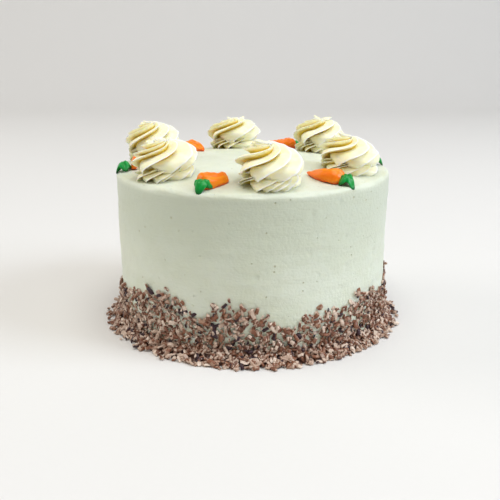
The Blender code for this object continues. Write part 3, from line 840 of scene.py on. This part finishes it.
class CAKE_OT_set_stage(bpy.types.Operator):
    """Makes the floor, the lights and the camera"""
    bl_idname = "cake.set_stage"
    bl_label = "Set the stage"

    def execute(self, context):
        scene, settings = context.scene, context.scene.carrot_cake.stage
        self.floor(scene, settings.paper)
        self.light(scene, "key_right", *KEY_BOX, settings.key_power, settings.key_colour)
        self.light(scene, "fill_left", *FILL_BOX, settings.fill_power, settings.air)
        self.light(scene, "overhead", *TOP_BOX, settings.top_power, settings.air)
        scene.world = bpy.data.worlds.new("studio_air")
        scene.world.use_nodes = True
        background = scene.world.node_tree.nodes["Background"]
        background.inputs["Color"].default_value = paint(settings.air)
        background.inputs["Strength"].default_value = settings.air_strength
        scene.view_settings.view_transform = "Standard"
        self.camera(scene, settings)
        return {"FINISHED"}

    def floor(self, scene, colour):
        """A seamless sweep: level under the cake and bent up behind it by a quarter of a circle."""
        bend = np.linspace(0, math.pi / 2, 24)
        y = np.concatenate([[-FLOOR_HALF], BEND_FROM + BEND_RADIUS * np.sin(bend), [BEND_FROM + BEND_RADIUS]])
        z = np.concatenate([[0.0], BEND_RADIUS * (1 - np.cos(bend)), [WALL_TOP]])
        grid = np.stack(np.broadcast_arrays((-FLOOR_HALF, FLOOR_HALF), y[:, None], z[:, None]), axis=-1)
        place = np.arange(2 * len(y)).reshape(len(y), 2)
        faces = np.stack([place[:-1, 0], place[:-1, 1], place[1:, 1], place[1:, 0]], axis=-1).tolist()
        mesh = bpy.data.meshes.new("floor")
        mesh.from_pydata(grid.reshape(-1, 3), [], faces)
        mesh.polygons.foreach_set("use_smooth", np.full(len(faces), True))
        mesh.materials.append(backdrop_paper(colour))
        floor = bpy.data.objects.new("floor", mesh)
        scene.collection.objects.link(floor)

    def light(self, scene, name, place, size, power, colour):
        """A square soft box that faces the cake."""
        lamp = bpy.data.lights.new(name, "AREA")
        lamp.size, lamp.energy, lamp.color = size, power, colour
        holder = bpy.data.objects.new(name, lamp)
        holder.location = place
        middle = (CAD_LOW + CAD_HIGH) / 2
        holder.rotation_euler = (middle - holder.location).to_track_quat("-Z", "Y").to_euler()
        scene.collection.objects.link(holder)

    def camera(self, scene, settings):
        """A camera in front of the cake that looks down on it."""
        camera = bpy.data.cameras.new("camera")
        camera.lens, camera.sensor_width, camera.shift_x = settings.lens, SENSOR_WIDTH, settings.shift
        holder = bpy.data.objects.new("camera", camera)
        holder.location = (0.0, -settings.distance, settings.eye_height)
        holder.rotation_euler = (math.pi / 2 - settings.tilt, 0.0, 0.0)
        scene.collection.objects.link(holder)
        scene.camera = holder


# --- Settings ---

def setting(kind, **limits):
    """Gives a function that makes a setting of one kind from its name, description and default."""
    return lambda name, description, default: kind(name=name, description=description, default=default,
                                                   **limits)


metres = setting(FloatProperty, min=0.0, unit="LENGTH", precision=5)
ratio = setting(FloatProperty, min=0.0, subtype="FACTOR")
watts = setting(FloatProperty, min=0.0, unit="POWER")
amount = setting(IntProperty, min=1)
tint = setting(FloatVectorProperty, size=3, subtype="COLOR", min=0.0, max=1.0)


class CAKE_PG_icing(bpy.types.PropertyGroup):
    edge_round: metres("Edge rounding", "Radius of the rounded top edge", 0.0036)
    crown: metres("Crown", "How much the middle of the top stands above its edge", 0.0065)
    foot_radius: metres("Foot radius", "Radius of the side where it meets the table", 0.1058)
    unevenness: metres("Unevenness", "Depth of the long soft waves", 0.00036)
    drag_depth: metres("Drag lines", "Depth of the knife's drag lines", 0.00012)
    cream: tint("Cream", "Colour of the icing", linear("#DFE4D2"))
    cream_shade: tint("Cream shade", "Colour of its slightly darker clouds", linear("#DADFCA"))
    # Painted shade in the band just below the rim
    rim_shade_colour: tint("Cream under the rim", "Colour of the side just below the rim", linear("#CED4C0"))
    # Painted shade inside the pinholes
    pit_shade: tint("Speck", "Colour of the specks in its pinholes", linear("#B0A670"))


class CAKE_PG_swirls(bpy.types.PropertyGroup):
    ribs: amount("Ribs", "Ribs that the star nozzle leaves", 7)
    overhang: ratio("Overhang", "How far a lip hangs over its groove, as a share of the pitch", 0.20)
    raggedness: metres("Raggedness", "Unevenness of the lips", 0.00026)
    draw_in: ratio("Draw-in", "Power of the cosine that narrows the dome towards its tip", 1.15)
    fullness: ratio("Fullness", "How much that power drops on the dome's fullest side", 0.33)
    lift: metres("Lift", "Height of the dome's foot above the icing", 0.0036)
    skirt_climb: ratio("Skirt climb", "Climb of the lowest turn's ribs against the dome's", 0.75)
    band: tint("Band", "Colour of the bands", linear("#FBF4CA"))
    band_light: tint("Light band", "Colour of their lighter clouds", linear("#FDF9DE"))
    # Painted yellow shade deep in the grooves
    groove: tint("Groove", "Colour deep in the grooves", linear("#EACB3C"))
    # Painted highlight on the thin lips
    lip: tint("Lip", "Colour of the thin lips", linear("#FFFFF6"))


class CAKE_PG_carrots(bpy.types.PropertyGroup):
    half_width: metres("Half width", "Half the width of a root at its thick end", 0.0066)
    height: metres("Height", "Height of a root at its thick end", 0.0100)
    lobe_length: metres("Lobe length", "Length of a lobe of the greens", 0.0066)
    lobe_width: metres("Lobe width", "Width of a lobe of the greens", 0.0080)
    lobe_crown: metres("Lobe crown", "Height at which the lobes meet", 0.0040)
    orange: tint("Orange", "Colour of the roots", linear("#FF7A00"))
    orange_light: tint("Light orange", "Colour of their streaks", linear("#FF980C"))
    # Painted shade low down on the roots
    orange_low_shade: tint("Deep orange", "Colour low down on the roots", linear("#E85800"))
    green: tint("Green", "Colour of the greens", linear("#008A2E"))
    green_light: tint("Light green", "Colour of their streaks", linear("#04A044"))
    # Painted shade low down on the greens
    green_low_shade: tint("Deep green", "Colour low down on the greens", linear("#005A1E"))


class CAKE_PG_nuts(bpy.types.PropertyGroup):
    side_radius: metres("Side radius", "Radius of the icing that the nuts are pressed on", 0.1059)
    heap: metres("Heap", "How far the nuts spread at the foot", 0.0100)
    spacing: metres("Spacing", "Distance from chip to chip on the side", 0.0032)
    shortest: metres("Shortest chip", "Length of the shortest chips", 0.0030)
    longest: metres("Longest chip", "Length of the longest common chips", 0.0060)
    heap_count: amount("Heap chips", "Chips in the heap at the foot", 1700)
    loose_count: amount("Loose chips", "Loose chips round the heap", 160)
    seed: amount("Seed", "Seed of the scatter", 51)
    flesh: tint("Flesh", "Colour of broken nut", linear("#E8D4C2"))
    flesh_deep: tint("Deep flesh", "Colour of its darker parts", linear("#A47E66"))
    skin: tint("Skin", "Colour of nut skin", linear("#583022"))
    skin_red: tint("Red skin", "Colour of its redder parts", linear("#885034"))
    dark: tint("Dark skin", "Colour of the darkest chips", linear("#2C1826"))


class CAKE_PG_stage(bpy.types.PropertyGroup):
    paper: tint("Paper", "Colour of the floor", linear("#E2E0DD"))
    air: tint("Air", "Colour of the light from all round", linear("#FFFDF9"))
    air_strength: ratio("Air strength", "Strength of that light", 0.32)
    key_colour: tint("Key colour", "Colour of the right soft box", linear("#E4F0FF"))
    key_power: watts("Key", "Power of the right soft box", 42.0)
    fill_power: watts("Fill", "Power of the left soft box", 22.0)
    top_power: watts("Overhead", "Power of the overhead soft box", 35.0)
    lens: setting(FloatProperty, min=1.0, unit="CAMERA")("Lens", "Focal length", 51.8)
    distance: metres("Distance", "Camera's distance from the axis", 0.5652)
    eye_height: metres("Eye height", "Camera's height above the table", 0.2209)
    tilt: setting(FloatProperty, subtype="ANGLE")("Tilt", "How far it looks down", math.radians(16.76))
    shift: setting(FloatProperty)("Shift", "Sideways shift as a share of the width", -0.005)


class CAKE_PG_cake(bpy.types.PropertyGroup):
    icing: PointerProperty(name="Icing", description="The smooth coat", type=CAKE_PG_icing)
    swirls: PointerProperty(name="Swirls", description="The piped swirls", type=CAKE_PG_swirls)
    carrots: PointerProperty(name="Carrots", description="The piped carrots", type=CAKE_PG_carrots)
    nuts: PointerProperty(name="Nuts", description="The chopped nuts", type=CAKE_PG_nuts)
    stage: PointerProperty(name="Stage", description="Floor, lights and camera", type=CAKE_PG_stage)


STEPS = (
    ("icing", CAKE_OT_ice_cake), ("swirls", CAKE_OT_pipe_swirls),
    ("carrots", CAKE_OT_pipe_carrots), ("carrots", CAKE_OT_pipe_greens),
    ("nuts", CAKE_OT_press_nuts), ("stage", CAKE_OT_set_stage),
)


class CAKE_PT_steps(bpy.types.Panel):
    """Lists the steps that make the cake, each with its settings"""
    bl_idname = "CAKE_PT_steps"
    bl_label = "Carrot cake"
    bl_space_type = "VIEW_3D"
    bl_region_type = "UI"
    bl_category = "Carrot cake"

    def draw(self, context):
        shown = set()
        for group_name, operator in STEPS:
            self.layout.operator(operator.bl_idname)
            if group_name not in shown:
                group = getattr(context.scene.carrot_cake, group_name)
                for setting in group.bl_rna.properties:
                    if not setting.is_readonly and setting.identifier != "name":
                        self.layout.prop(group, setting.identifier)
            shown.add(group_name)


CLASSES = (
    CAKE_PG_icing, CAKE_PG_swirls, CAKE_PG_carrots, CAKE_PG_nuts, CAKE_PG_stage,
    CAKE_PG_cake, *(operator for _, operator in STEPS), CAKE_PT_steps,
)


def register():
    for made in CLASSES:
        bpy.utils.register_class(made)
    bpy.types.Scene.carrot_cake = PointerProperty(type=CAKE_PG_cake)


def unregister():
    del bpy.types.Scene.carrot_cake
    for made in reversed(CLASSES):
        bpy.utils.unregister_class(made)


def main():
    register()
    bpy.ops.cake.ice_cake()
    bpy.ops.cake.pipe_swirls()
    bpy.ops.cake.pipe_carrots()
    bpy.ops.cake.pipe_greens()
    bpy.ops.cake.press_nuts()
    bpy.ops.cake.set_stage()
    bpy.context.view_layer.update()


if __name__ == "__main__":
    main()
